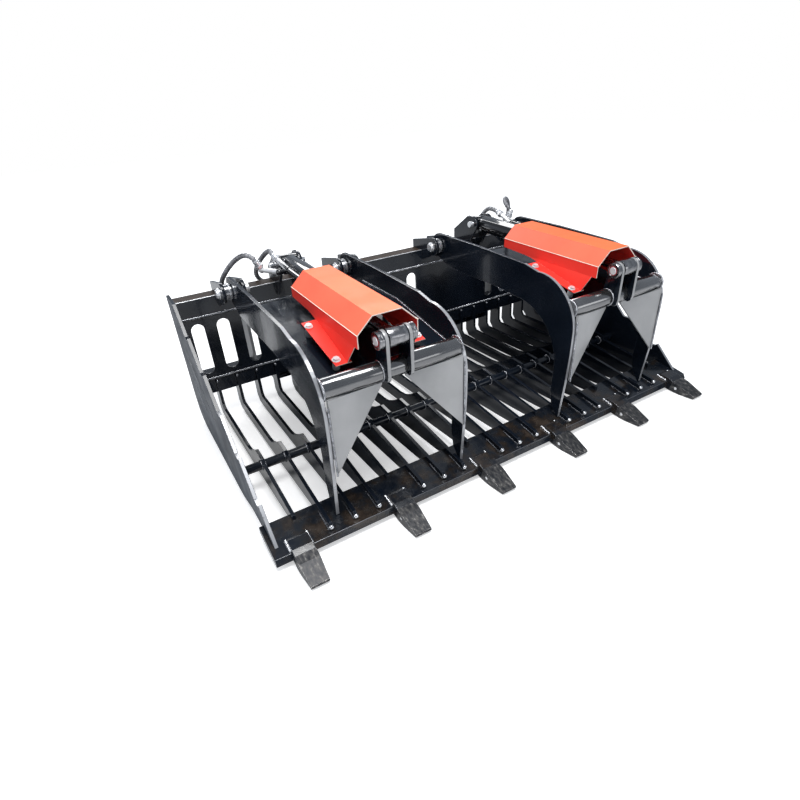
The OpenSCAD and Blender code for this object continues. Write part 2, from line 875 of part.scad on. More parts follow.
// One half of the section, from the foot of the flare to the middle of the top
half_section = [
    [-guard_half - flare_w, -guard_chamfer - guard_side_h - flare_h],
    [-guard_half, -guard_chamfer - guard_side_h],
    [-guard_half, -guard_chamfer],
    [-guard_top_half, 0]
];
wall_shift = [[guard_t, 0], [guard_t, 0], [guard_t, -guard_t / 2], [guard_t / 2, -guard_t]];
function flipped(p) = [for (i = [len(p) - 1:-1:0]) [-p[i][0], p[i][1]]];
function reversed(p) = [for (i = [len(p) - 1:-1:0]) p[i]];
module guard_section() {
    inner = half_section + wall_shift;
    polygon(concat(half_section, flipped(half_section), reversed(flipped(inner)),
        reversed(inner)));
}

// Side view of the guard: open above the cover behind the flares
module guard_side_view() {
    side_z = guard_top_z - guard_chamfer - guard_side_h;
    flare_y = rod_pin_at[0] + flare_start;
    flare_end = flare_y + flare_len;
    end_y = guard_front_y + guard_len + overrun;
    polygon([
        [guard_front_y - overrun, side_z],
        [flare_y - flare_rise, side_z],
        [flare_y, flange_z(flare_y) + guard_t / 2],
        [flare_end, flange_z(flare_end) + guard_t / 2],
        [flare_end + flare_rise, side_z + side_rise],
        [end_y, side_z + 2 * side_rise], [end_y, guard_top_z + flare_h],
        [guard_front_y - overrun, guard_top_z + flare_h]
    ]);
}

bolt_spots = [59, 250];
bolt_x = 137;
bolt_hole_d = 14;
module guard(side) {
    color("#e6401f")
        difference() {
            union() {
                intersection() {
                    translate([side * grapple_x, guard_front_y, guard_top_z])
                        rotate([guard_top_slope, 0, 0]) rotate([90, 0, 180])
                            linear_extrude(guard_len) guard_section();
                    across(side * grapple_x, 2 * between_arms) guard_side_view();
                }
                on_flange()
                    for (x = [-flange_out, flange_in])
                        translate([side * grapple_x + x, flange_front, 0])
                            cube([flange_out - flange_in, flange_len, guard_t]);
            }
            on_flange()
                for (s = [-1, 1]) for (y = bolt_spots)
                    translate([side * grapple_x + s * bolt_x, y, -overrun])
                        cylinder(h = guard_t + 2 * overrun, d = bolt_hole_d);
        }
}

// Bolts through the flanges: hexagon head and washer, shank and spacer on the cover
bolt_head_d = 20;
bolt_head_h = 8;
washer_d = 26;
washer_t = 2;
bolt_shank_d = 12;
spacer_d = 22;
module guard_bolts(side) {
    color("#c8cbce")
        difference() {
            on_flange()
                for (s = [-1, 1]) for (y = bolt_spots)
                    translate([side * grapple_x + s * bolt_x, y, 0]) {
                        translate([0, 0, guard_t + seat_gap]) {
                            cylinder(h = bolt_head_h, d = bolt_head_d, $fn = 6);
                            cylinder(h = washer_t, d = washer_d);
                        }
                        translate([0, 0, -guard_side_h])
                            cylinder(h = guard_side_h + guard_t + washer_t,
                                d = bolt_shank_d);
                        translate([0, 0, -guard_side_h])
                            cylinder(h = guard_side_h - seat_gap, d = spacer_d);
                    }
            across(side * grapple_x, between_arms) below_cover();
        }
}

// Everything under the top face of the cover
module below_cover() {
    root = grapple_tube_at + cover_root_step;
    bend = on_grapple(cover_bend_share);
    end = on_grapple(cover_end_share);
    up = [0, seat_gap];
    polygon([root + up, bend + up, end + up, [end[0], 0], [root[0], 0]]);
}

// Cylinders

// Draws along the cylinder's line: +Y runs from the base pin to the rod pin
module on_cylinder(side) {
    translate([side * grapple_x, base_pin_at[0], base_pin_at[1]])
        rotate([cyl_pitch, 0, 0]) rotate([0, 0, 180]) children();
}

module along(y, len, d) {
    translate([0, y, 0]) rotate([-90, 0, 0]) cylinder(h = len, d = d);
}

// A pipe through the points of its route, with an elbow at each corner
module pipe(route, d, elbow_d) {
    for (i = [0:len(route) - 2]) {
        v = route[i + 1] - route[i];
        translate(route[i])
            rotate([0, acos(v[2] / norm(v)), atan2(v[1], v[0])])
                cylinder(h = norm(v), d = d);
        if (i > 0) translate(route[i]) sphere(d = elbow_d);
    }
}

eye_w = 64;
eye_d = 60;
eye_block_h = 48;
cap_y = 36;
cap_t = 16;
barrel_end = 520;
gland_len = 34;
gland_head_t = 12;
gland_head_step = 4;
piston_y = 446;
piston_t = 30;
rod_start = 440;
rod_stud_step = 8;
rod_eye_w = 58;
rod_eye_d = 56;

// Fittings on the outer side of a barrel, as [outwards, along the cylinder, up]: one
// at its base, and the line that comes back from its gland under the guard
pipe_d = 19;
elbow_d = 25;
base_fitting = [[30, 132, 6], [84, 132, 12], [122.5, 50, 7], [132.5, 47.5, 27.4]];
return_line = [[29, 480, 12], [54, 470, 18], [54, 150, 18], [64.5, 56, 40.4]];

module barrel(side) {
    color("#111315")
        on_cylinder(side)
            difference() {
                union() {
                    bar(0, [0, 0], eye_w, eye_d);
                    translate([-eye_w / 2, 0, -eye_block_h / 2])
                        cube([eye_w, cap_y + cap_t / 2, eye_block_h]);
                    along(cap_y, barrel_end - cap_y, barrel_d);
                    mirror([side > 0 ? 1 : 0, 0, 0]) {
                        pipe(base_fitting, pipe_d, elbow_d);
                        pipe(return_line, pipe_d, elbow_d);
                    }
                }
                along(cap_y + cap_t, barrel_end, bore_d);
                bar(0, [0, 0], eye_w + overrun, cylinder_pin_d + 2 * run_fit);
            }
}

module gland(side) {
    plug_d = bore_d - 2 * weld_gap;
    color("#3b3e41")
        on_cylinder(side)
            difference() {
                union() {
                    along(barrel_end - gland_len, gland_len + overrun, plug_d);
                    along(barrel_end + seat_gap, gland_head_t, barrel_d - gland_head_step);
                }
                along(barrel_end - gland_len - overrun,
                    gland_len + gland_head_t + 2 * overrun, rod_d + 2 * run_fit);
            }
}

module piston(side) {
    color("#8f9295")
        on_cylinder(side)
            difference() {
                along(piston_y, piston_t, bore_d - 2 * run_fit);
                along(piston_y - overrun, piston_t + 2 * overrun,
                    rod_d - rod_stud_step + 2 * weld_gap);
            }
}

module rod(side) {
    color("#d5d8db")
        on_cylinder(side)
            difference() {
                union() {
                    along(rod_start, piston_y + piston_t - rod_start + overrun,
                        rod_d - rod_stud_step);
                    along(piston_y + piston_t, cyl_len - piston_y - piston_t, rod_d);
                    bar(0, [cyl_len, 0], rod_eye_w, rod_eye_d);
                }
                bar(0, [cyl_len, 0], rod_eye_w + overrun, cylinder_pin_d + 2 * open_fit);
            }
}

module place() {
    translate([0, -centre_y, 0]) children();
}

place() side_plate(-1);  // side_plate_left
place() side_plate(1);  // side_plate_right
place() back_plate();
place() lower_rail();
place() top_tube();
place() rear_cross_tube();
place() cutting_edge();
place() cross_rod();
place() tines(1, 8);  // tines_left
place() tines(9, 13);  // tines_middle
place() tines(14, tine_count);  // tines_right
place() tooth_tines();
place() tooth_adapters();
for (i = [1:6])
    place() tooth(i);
place() tooth_pins();
place() hinge_pins();
place() base_pins();
place() rear_ribs();
place() mount_sides();
place() mount_top_lip();
place() mount_foot();
place() hose_tee_block();
for (s = [-1, 1]) {
    name = s < 0 ? "left" : "right";
    place() hinge_lugs(s);
    place() cylinder_lugs(s);
    place() hoses(s);
    place() arm(s, s * arm_x);
    place() arm(s, -s * arm_x);
    place() cover(s);
    place() grapple_tube(s);
    place() gussets(s);
    place() rod_lugs(s);
    place() guard(s);
    place() guard_bolts(s);
    place() rod_pin(s);
    place() barrel(s);
    place() gland(s);
    place() piston(s);
    place() rod(s);
}
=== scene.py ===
# %% [markdown]
# A grapple bucket for a compact loader is dressed here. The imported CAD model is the
# frame: every plate, pin and tine comes from it at its true size. Blender adds what the
# eye expects on top, which is paint, weld beads, fittings, collars and wrapped hoses.

# %% Load the frame
import json
import math
import bpy
from mathutils import Matrix, Vector


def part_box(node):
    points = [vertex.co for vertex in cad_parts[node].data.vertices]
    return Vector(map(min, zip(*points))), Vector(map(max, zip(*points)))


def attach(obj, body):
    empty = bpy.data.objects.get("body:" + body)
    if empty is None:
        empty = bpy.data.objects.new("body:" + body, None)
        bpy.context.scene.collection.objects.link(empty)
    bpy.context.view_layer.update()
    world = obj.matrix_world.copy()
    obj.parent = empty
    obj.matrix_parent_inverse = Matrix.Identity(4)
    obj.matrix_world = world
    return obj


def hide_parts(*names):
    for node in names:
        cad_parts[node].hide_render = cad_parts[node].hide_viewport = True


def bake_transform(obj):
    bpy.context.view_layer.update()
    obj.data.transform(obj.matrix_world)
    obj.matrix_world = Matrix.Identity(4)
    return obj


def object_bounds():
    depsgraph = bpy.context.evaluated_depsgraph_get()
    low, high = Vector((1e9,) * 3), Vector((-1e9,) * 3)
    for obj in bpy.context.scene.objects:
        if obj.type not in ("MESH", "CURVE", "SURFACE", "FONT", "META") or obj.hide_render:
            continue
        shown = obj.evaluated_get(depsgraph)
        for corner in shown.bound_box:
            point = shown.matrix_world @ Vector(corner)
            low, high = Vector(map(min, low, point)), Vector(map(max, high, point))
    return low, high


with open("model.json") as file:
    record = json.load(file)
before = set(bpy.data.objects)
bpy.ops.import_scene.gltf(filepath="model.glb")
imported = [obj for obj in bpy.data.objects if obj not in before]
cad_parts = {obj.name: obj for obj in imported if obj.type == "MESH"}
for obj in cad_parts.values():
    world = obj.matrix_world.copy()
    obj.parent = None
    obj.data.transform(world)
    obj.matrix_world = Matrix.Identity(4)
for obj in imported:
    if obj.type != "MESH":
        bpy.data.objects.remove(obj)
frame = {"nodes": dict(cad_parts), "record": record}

cad_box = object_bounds()
nodes = frame["nodes"]
SIDES = {"left": -1, "right": 1}

# %% [markdown]
# The camera stands about as high as a person's chest, to the front left of the bucket,
# with a wide lens. The lens and the place come from lines in the photograph that are
# parallel or evenly spaced on the real bucket, such as the tines and the teeth.

# %% Camera
PHOTO_PX = 800
FOCAL_PX = 515.4
SENSOR_MM = 36.0
CAMERA_AT = (-1.1008, -1.5528, 1.1501)
CAMERA_TURN = tuple(math.radians(a) for a in (59.14, 3.16, -31.30))

bpy.ops.object.select_all(action="DESELECT")
bpy.ops.object.camera_add(location=CAMERA_AT, rotation=CAMERA_TURN)
camera = bpy.context.object
camera.data.sensor_width = SENSOR_MM
camera.data.lens = FOCAL_PX / PHOTO_PX * SENSOR_MM
bpy.context.scene.camera = camera
print("camera lens", round(camera.data.lens, 2), "mm")

# %% [markdown]
# A pale floor carries the bucket, and the photograph's ground is white. So the floor
# adds a little white of its own for the camera alone: where the lamps reach it, it is
# white, and where the bucket shades it, the shadow stays. The world does the same.

# %% Floor and world
FLOOR_HALF = 14.0
FLOOR_LIFT = 0.52
FAR_LIFT = 0.80
NEAR, FAR = 1.3, 3.2
FLOOR_GAP = 0.0005
FLOOR_GREY = (0.85, 0.85, 0.85, 1)
FLOOR_ROUGH = 0.9
WHITE = (1, 1, 1, 1)
SKY_COLOUR = (0.80, 0.88, 1.0, 1)
SKY_STRENGTH = 0.38


def camera_share(tree, low, high):
    """A number that is high for what the camera sees directly, and low for light."""
    path = tree.nodes.new("ShaderNodeLightPath")
    share = tree.nodes.new("ShaderNodeMapRange")
    share.inputs["To Min"].default_value = low
    share.inputs["To Max"].default_value = high
    tree.links.new(path.outputs["Is Camera Ray"], share.inputs["Value"])
    return share.outputs["Result"]


def make_floor():
    bpy.ops.object.select_all(action="DESELECT")
    ground = cad_box[0][2] - FLOOR_GAP
    bpy.ops.mesh.primitive_plane_add(size=2 * FLOOR_HALF, location=(0, 0, ground))
    floor = bpy.context.object
    floor.name = "floor"
    material = bpy.data.materials.new("pale_floor")
    material.use_nodes = True
    tree = material.node_tree
    shader = tree.nodes["Principled BSDF"]
    shader.inputs["Base Color"].default_value = FLOOR_GREY
    shader.inputs["Roughness"].default_value = FLOOR_ROUGH
    shader.inputs["Emission Color"].default_value = WHITE
    place = tree.nodes.new("ShaderNodeTexCoord")
    reach = tree.nodes.new("ShaderNodeVectorMath")
    reach.operation = "LENGTH"
    tree.links.new(place.outputs["Object"], reach.inputs[0])
    lift = tree.nodes.new("ShaderNodeMapRange")
    for field, value in zip(("From Min", "From Max", "To Min", "To Max"),
                            (NEAR, FAR, FLOOR_LIFT, FAR_LIFT)):
        lift.inputs[field].default_value = value
    tree.links.new(reach.outputs["Value"], lift.inputs["Value"])
    seen = tree.nodes.new("ShaderNodeMath")
    seen.operation = "MULTIPLY"
    tree.links.new(camera_share(tree, 0.0, 1.0), seen.inputs[0])
    tree.links.new(lift.outputs["Result"], seen.inputs[1])
    tree.links.new(seen.outputs[0], shader.inputs["Emission Strength"])
    floor.data.materials.append(material)


def make_world():
    world = bpy.data.worlds.new("studio")
    world.use_nodes = True
    tree = world.node_tree
    background = tree.nodes["Background"]
    path = tree.nodes.new("ShaderNodeLightPath")
    blend = tree.nodes.new("ShaderNodeMix")
    blend.data_type = "RGBA"
    blend.inputs["A"].default_value = SKY_COLOUR
    blend.inputs["B"].default_value = WHITE
    tree.links.new(path.outputs["Is Camera Ray"], blend.inputs["Factor"])
    tree.links.new(blend.outputs["Result"], background.inputs["Color"])
    tree.links.new(camera_share(tree, SKY_STRENGTH, 1.0), background.inputs["Strength"])
    bpy.context.scene.world = world


make_floor()
make_world()
print("floor and world are white for the camera")

# %% [markdown]
# Gloss black paint shows little of its own colour. What the eye sees on it is the
# reflection of lamps, so the lamps are fairly small and bright. The top lamp draws the
# light lines on tubes and plate edges, a long lamp behind draws those of the rear, and two
# weaker lamps at the left and the front fill the rest.

# %% Lamps
LAMPS = [
    ("top_lamp", (-0.5, -0.9, 3.2), (0, -0.1, 0.3), (1.6, 1.2), 84),
    ("rear_lamp", (0.6, 2.6, 2.4), (0, 0.2, 0.3), (3.4, 0.8), 62),
    ("left_lamp", (-3.4, -0.4, 1.6), (0, 0, 0.3), (1.6, 1.2), 24),
    ("front_lamp", (1.2, -3.4, 1.0), (0, 0, 0.3), (2.4, 1.0), 13),
]


def soft_lamp(name, place, aim, size, watts):
    bpy.ops.object.select_all(action="DESELECT")
    turn = (Vector(aim) - Vector(place)).to_track_quat("-Z", "Y").to_euler()
    bpy.ops.object.light_add(type="AREA", location=place, rotation=turn)
    lamp = bpy.context.object
    lamp.name = name
    lamp.data.shape = "RECTANGLE"
    lamp.data.size, lamp.data.size_y = size
    lamp.data.energy = watts


for lamp_values in LAMPS:
    soft_lamp(*lamp_values)
bpy.context.scene.view_settings.view_transform = "Standard"
print(len(LAMPS), "lamps are set")

# %% [markdown]
# Every finish is built from a few shader nodes. Noise on Object coordinates, in metres,
# gives the paint its orange peel, its dust and its rubbed places, and the same noise
# keeps its scale on every plate.

# %% Helpers for finishes


def new_finish(name):
    material = bpy.data.materials.new(name)
    material.use_nodes = True
    tree = material.node_tree
    return material, tree, tree.nodes["Principled BSDF"], tree.nodes.new("ShaderNodeTexCoord")


def noise(tree, place, scale, detail=4.0, roughness=0.55):
    node = tree.nodes.new("ShaderNodeTexNoise")
    node.inputs["Scale"].default_value = scale
    node.inputs["Detail"].default_value = detail
    node.inputs["Roughness"].default_value = roughness
    tree.links.new(place.outputs["Object"], node.inputs["Vector"])
    return node.outputs["Fac"]


def ramp(tree, value, stops):
    node = tree.nodes.new("ShaderNodeValToRGB")
    marks = node.color_ramp.elements
    marks[0].position, marks[0].color = stops[0][0], (*stops[0][1], 1)
    marks[1].position, marks[1].color = stops[-1][0], (*stops[-1][1], 1)
    for position, colour in stops[1:-1]:
        marks.new(position).color = (*colour, 1)
    tree.links.new(value, node.inputs["Fac"])
    return node.outputs["Color"]


def spread(tree, value, low, high):
    node = tree.nodes.new("ShaderNodeMapRange")
    node.inputs["From Min"].default_value = 0.3
    node.inputs["From Max"].default_value = 0.7
    node.inputs["To Min"].default_value = low
    node.inputs["To Max"].default_value = high
    tree.links.new(value, node.inputs["Value"])
    return node.outputs["Result"]


def bump(tree, shader, value, strength, distance):
    node = tree.nodes.new("ShaderNodeBump")
    node.inputs["Strength"].default_value = strength
    node.inputs["Distance"].default_value = distance
    tree.links.new(value, node.inputs["Height"])
    tree.links.new(node.outputs["Normal"], shader.inputs["Normal"])


# %% [markdown]
# The bucket wears gloss black powder coat. Close up such a coat is slightly wavy, and it
# carries a thin film of dust, so the colour moves a little between black and blue-grey.
# A clear coat on top gives the sharp reflection and the paint under it a softer one.

# %% Paints


def gloss_paint(name, dark, light, rough=(0.10, 0.20), coat=0.6, metal=0.0, specular=0.5):
    material, tree, shader, place = new_finish(name)
    film = noise(tree, place, 5.0, 6.0)
    tree.links.new(ramp(tree, film, [(0.3, dark), (0.75, light)]), shader.inputs["Base Color"])
    scuffs = noise(tree, place, 14.0, 4.0, 0.5)
    tree.links.new(spread(tree, scuffs, *rough), shader.inputs["Roughness"])
    shader.inputs["Metallic"].default_value = metal
    shader.inputs["Specular IOR Level"].default_value = specular
    shader.inputs["Coat Weight"].default_value = coat
    shader.inputs["Coat Roughness"].default_value = 0.04
    peel = noise(tree, place, 160.0, 2.0)
    bump(tree, shader, peel, 0.05, 0.0005)
    return material


black_coat = gloss_paint("black_powder_coat", (0.003, 0.005, 0.009), (0.009, 0.013, 0.021),
                         (0.13, 0.22), 0.20, 0.0, 0.34)
barrel_coat = gloss_paint("cylinder_paint", (0.004, 0.004, 0.005), (0.010, 0.010, 0.012),
                          (0.08, 0.16), 0.6, 0.0, 0.6)
# The top of the top tube gets a dark brown: a painted reflection of brown surroundings.
tube_top_reflection_coat = gloss_paint("painted_reflection_tube_top", (0.018, 0.010, 0.006), (0.042, 0.025, 0.015),
                         (0.4, 0.55), 0.0, 0.0, 0.12)
red_coat = gloss_paint("deep_red_side", (0.93, 0.045, 0.032), (0.98, 0.066, 0.048),
                       (0.30, 0.40), 0.1, 0.0, 0.25)
# The guard's slope and top get lighter copies of its red: painted light from above.
lit_guard_slope_coat = gloss_paint("painted_light_orange_slope", (0.92, 0.13, 0.068), (0.97, 0.17, 0.09),
                         (0.34, 0.44), 0.05, 0.0, 0.25)
lit_guard_top_coat = gloss_paint("painted_light_orange_top", (0.92, 0.15, 0.042), (0.96, 0.195, 0.062),
                       (0.38, 0.48), 0.05, 0.0, 0.2)
grey_coat = gloss_paint("rib_primer", (0.16, 0.165, 0.17), (0.26, 0.265, 0.27), (0.4, 0.55), 0.1)
# A light grey that stands for reflection on black paint: painted reflection on the gussets,
# painted highlight on strap edges.
grey_reflection_coat = gloss_paint("painted_reflection_grey", (0.32, 0.322, 0.325), (0.45, 0.452, 0.455),
                         (0.32, 0.44), 0.2, 0.3)
tube_coat = gloss_paint("polished_tube_paint", (0.15, 0.151, 0.155), (0.24, 0.242, 0.246),
                        (0.12, 0.20), 0.9, 0.9, 0.8)
# A paler, duller blue-grey for the outer faces of the side plates.
outer_face_coat = gloss_paint("blue_grey_outer_face", (0.014, 0.021, 0.030), (0.06, 0.071, 0.09),
                        (0.42, 0.6), 0.0, 0.0, 0.2)
# A pale grey for plate edges: a painted highlight.
plate_edge_highlight = gloss_paint("painted_highlight_plate_edge", (0.30, 0.305, 0.32), (0.58, 0.59, 0.61),
                        (0.24, 0.38), 0.4, 0.6)
# A lighter grey for the bevels of black plates: a painted highlight along each edge.
corner_highlight_coat = gloss_paint("painted_highlight_corner", (0.05, 0.055, 0.065), (0.18, 0.185, 0.20),
                       (0.18, 0.30), 0.5, 0.5)
# A bright grey for the bevels of the top tube: a painted highlight line.
tube_corner_highlight = gloss_paint("painted_highlight_tube_corner", (0.45, 0.46, 0.48), (0.75, 0.76, 0.78),
                        (0.2, 0.3), 0.5, 0.5)
# A pale cream for the guard's edges, cut face and fold lines: a painted highlight.
guard_edge_highlight = gloss_paint("painted_highlight_guard_edge", (0.98, 0.76, 0.64), (1.0, 0.93, 0.86),
                         (0.35, 0.5), 0.1)
print("paints are mixed")

# %% [markdown]
# Stones have rubbed the cutting edge and the adapters. Their paint is thin in patches,
# where a little brown steel shows, and it is polished in some places and dull in others.

# %% Worn paint


def worn_edge_paint():
    material, tree, shader, place = new_finish("wear_edge_paint")
    patches = noise(tree, place, 13.0, 7.0, 0.6)
    colour = ramp(tree, patches, [(0.36, (0.003, 0.006, 0.012)), (0.48, (0.010, 0.012, 0.016)),
                                  (0.57, (0.020, 0.015, 0.012)), (0.68, (0.044, 0.033, 0.026))])
    tree.links.new(colour, shader.inputs["Base Color"])
    rubbed = noise(tree, place, 34.0, 6.0, 0.6)
    tree.links.new(spread(tree, rubbed, 0.08, 0.36), shader.inputs["Roughness"])
    shader.inputs["Specular IOR Level"].default_value = 0.5
    shader.inputs["Coat Weight"].default_value = 0.2
    shader.inputs["Coat Roughness"].default_value = 0.06
    bump(tree, shader, noise(tree, place, 90.0, 4.0), 0.2, 0.0009)
    return material


wear_coat = worn_edge_paint()
print("worn paint is mixed")

# %% [markdown]
# The teeth are cast and only oiled, so they are rougher than the paint and show pale
# scratches along the digging direction. Pins and bolts are zinc plated, and rods and
# bushes are turned steel. The weld beads and drops get a bright metal finish, a painted
# highlight.

# %% Bare metal


def stretched_noise(tree, place, scale, stretch, detail):
    turn = tree.nodes.new("ShaderNodeMapping")
    turn.inputs["Scale"].default_value = stretch
    tree.links.new(place.outputs["Object"], turn.inputs["Vector"])
    node = tree.nodes.new("ShaderNodeTexNoise")
    node.inputs["Scale"].default_value = scale
    node.inputs["Detail"].default_value = detail
    tree.links.new(turn.outputs["Vector"], node.inputs["Vector"])
    return node.outputs["Fac"]


def cast_steel():
    material, tree, shader, place = new_finish("cast_tooth_steel")
    scratch = stretched_noise(tree, place, 125.0, (1.0, 0.4, 1.0), 10.0)
    colour = ramp(tree, scratch, [(0.34, (0.016, 0.018, 0.022)), (0.50, (0.05, 0.05, 0.053)),
                                  (0.60, (0.085, 0.083, 0.08)), (0.74, (0.30, 0.29, 0.28))])
    tree.links.new(colour, shader.inputs["Base Color"])
    shader.inputs["Metallic"].default_value = 0.45
    tree.links.new(spread(tree, scratch, 0.34, 0.52), shader.inputs["Roughness"])
    bump(tree, shader, noise(tree, place, 420.0, 3.0), 0.35, 0.0006)
    return material


def plated(name, dark, light, rough, metal=1.0):
    material, tree, shader, place = new_finish(name)
    cloud = noise(tree, place, 60.0, 4.0)
    tree.links.new(ramp(tree, cloud, [(0.3, dark), (0.7, light)]), shader.inputs["Base Color"])
    shader.inputs["Metallic"].default_value = metal
    tree.links.new(spread(tree, cloud, *rough), shader.inputs["Roughness"])
    bump(tree, shader, noise(tree, place, 700.0, 2.0), 0.1, 0.0003)
    return material


tooth_steel = cast_steel()
zinc = plated("zinc_plate", (0.70, 0.71, 0.73), (0.92, 0.93, 0.95), (0.18, 0.32), 0.8)
pale_zinc = plated("pale_zinc", (0.70, 0.71, 0.72), (0.90, 0.90, 0.91), (0.3, 0.42), 0.45)
turned_steel = plated("turned_steel", (0.20, 0.20, 0.21), (0.40, 0.40, 0.41), (0.18, 0.30))
chrome = plated("hard_chrome", (0.72, 0.73, 0.75), (0.86, 0.87, 0.88), (0.05, 0.12))
# Bright metal for the weld beads and drops: a painted highlight. The beads on the tine sides stay
# darker.
weld_glint_metal = plated("painted_highlight_weld", (0.16, 0.165, 0.18), (0.62, 0.63, 0.66), (0.14, 0.26))
dark_weld = plated("dark_weld", (0.03, 0.031, 0.035), (0.16, 0.165, 0.18), (0.16, 0.30))
drop_glint_metal = plated("painted_highlight_drop", (0.55, 0.56, 0.58), (0.85, 0.86, 0.88), (0.12, 0.22))
worn_metal = plated("worn_tooth_edge", (0.60, 0.59, 0.58), (0.88, 0.87, 0.86), (0.24, 0.36))

# %% [markdown]
# The hoses have a plastic spiral wound round them against rubbing. It is a grey that
# shines a little, with darker patches of grime. After it, each node gets the finish that
# belongs to its material slot in the record.

# %% Spiral wrap and the finish of each node


def wrap_plastic():
    material, tree, shader, place = new_finish("spiral_wrap")
    cloud = noise(tree, place, 30.0, 4.0)
    colour = ramp(tree, cloud, [(0.3, (0.07, 0.072, 0.08)), (0.72, (0.30, 0.305, 0.325))])
    tree.links.new(colour, shader.inputs["Base Color"])
    tree.links.new(spread(tree, cloud, 0.24, 0.4), shader.inputs["Roughness"])
    shader.inputs["Specular IOR Level"].default_value = 0.8
    bump(tree, shader, noise(tree, place, 900.0, 2.0), 0.15, 0.0003)
    return material


wrap = wrap_plastic()
SLOT_FINISH = {
    "black_paint": black_coat, "grey_paint": grey_coat, "wear_steel": wear_coat,
    "cast_teeth": tooth_steel, "zinc": zinc, "red_paint": red_coat,
    "barrel_paint": barrel_coat, "chrome_rod": chrome, "hose_rubber": wrap,
}
slot_of = {entry["node"]: entry["material_slot"] for entry in frame["record"]["subparts"]}


def paint(node_name, *finishes):
    node = nodes[node_name]
    node.data.materials.clear()
    for finish in finishes:
        node.data.materials.append(finish)
    return node


for name in nodes:
    paint(name, SLOT_FINISH[slot_of[name]])
print("finishes on", len(nodes), "nodes")

# %% [markdown]
# Some nodes carry more than one finish. The bushes of the arms are turned steel and
# unpainted, and the pipes on the barrels are plated. The cut edges at the front of the
# arms and the low edges of the side plates get a pale grey, a painted highlight, and so
# do the edges of the rod straps. The guards get lighter copies of their red on top and on
# the slope, painted light from above, and a painted highlight on their front cut edge.
# The top of the top tube gets a painted brown reflection, and the outer faces of the side
# plates a paler blue-grey. Faces are picked by their place and direction, and only their
# material number changes. The middles of both grapples, the pins and the tube are given
# in millimetres, as in the CAD source.

# %% Second finishes on parts of a node
TO_REAR = -0.451051


def spot(x, along, up):
    """A point given in millimetres: across, behind the tine tips, above the ground."""
    return Vector((x / 1000, along / 1000 + TO_REAR, up / 1000))


GRAPPLE_X = 467.5
ARM_X = 235.5
ARM_HALF = 6.0
HINGE = (808.0, 556.0)
BASE_PIN = (822.0, 615.0)
ROD_PIN = (28.04, 582.02)
TUBE = (50.01, 478.99)
BARREL_R = 36.0
BUSH_GAP = 0.5
ARM_FRONT_Y = -0.13
PLATE_STEP_Z = 0.29
OUTER_FACE_X = 0.9140
GUARD_TOP_Z = 0.60
GUARD_SLOPE_Z = 0.58
PIPES_FROM, PIPES_TO = 0.04, 0.115


def second_finish(node_name, finish, test):
    node = nodes[node_name]
    number = len(node.data.materials)
    node.data.materials.append(finish)
    count = 0
    for face in node.data.polygons:
        if test(face.center, face.normal):
            face.material_index = number
            count += 1
    return count


def off_arm(x):
    return lambda centre, normal: abs(centre.x * 1000 - x) > ARM_HALF + BUSH_GAP


# Only the front part of each arm edge is picked for the painted highlight.
def front_edge(centre, normal):
    return abs(normal.x) < 0.3 and centre.y < ARM_FRONT_Y and normal.y < 0.35


def low_edge(centre, normal):
    return abs(normal.x) < 0.3 and normal.z > 0.3 and centre.z < PLATE_STEP_Z


def lug_edge(centre, normal):
    return abs(normal.x) < 0.5


# The outer faces of the side plates are picked for the paler blue-grey.
def outer_face(centre, normal):
    return abs(normal.x) > 0.9 and abs(centre.x) > OUTER_FACE_X


# The guard's front cut face is picked for the pale painted highlight.
def guard_cut(centre, normal):
    return normal.y < -0.9


def top_face(centre, normal):
    return normal.z > 0.9


# The guard's top and slope faces are picked for the painted light from above.
def guard_top(centre, normal):
    return normal.z > 0.9 and centre.z > GUARD_TOP_Z


def guard_slope(centre, normal):
    return 0.3 < normal.z <= 0.9 and centre.z > GUARD_SLOPE_Z


def off_barrel(side):
    pin, end = spot(0, *BASE_PIN), spot(0, *ROD_PIN)
    line = (end - pin).normalized()
    middle = side * GRAPPLE_X / 1000

    def test(centre, normal):
        reach = Vector((0, centre.y, centre.z)) - pin
        reach.x = 0
        away = (reach - line * reach.dot(line)).length
        return math.hypot(centre.x - middle, away) * 1000 > BARREL_R + 1.0 \
            and PIPES_FROM < reach.dot(line) < PIPES_TO
    return test


for name, side in SIDES.items():
    for which, step in (("outer", side * ARM_X), ("inner", -side * ARM_X)):
        arm = f"arm_{name}_{which}"
        faces = second_finish(arm, turned_steel, off_arm(side * GRAPPLE_X + step))
        edges = second_finish(arm, plate_edge_highlight, front_edge)
        print(arm, faces, "bush faces,", edges, "edge faces")
    second_finish(f"barrel_{name}", pale_zinc, off_barrel(side))
    second_finish(f"side_plate_{name}", plate_edge_highlight, low_edge)
    second_finish(f"side_plate_{name}", outer_face_coat, outer_face)
    second_finish(f"guard_{name}", guard_edge_highlight, guard_cut)
    tops = second_finish(f"guard_{name}", lit_guard_top_coat, guard_top)
    slopes = second_finish(f"guard_{name}", lit_guard_slope_coat, guard_slope)
    print(f"guard_{name}", tops, "top faces,", slopes, "sloping faces")
    # The gussets are given the light grey, a painted reflection.
    paint(f"gussets_{name}", grey_reflection_coat)
    paint(f"guard_bolts_{name}", pale_zinc)
    paint(f"grapple_tube_{name}", tube_coat)
    # The edges of the rod straps get the same grey, a painted highlight.
    second_finish(f"rod_lugs_{name}", grey_reflection_coat, lug_edge)
    paint(f"rod_{name}", turned_steel)
# The top faces of the top tube get the painted brown reflection.
second_finish("top_tube", tube_top_reflection_coat, top_face)

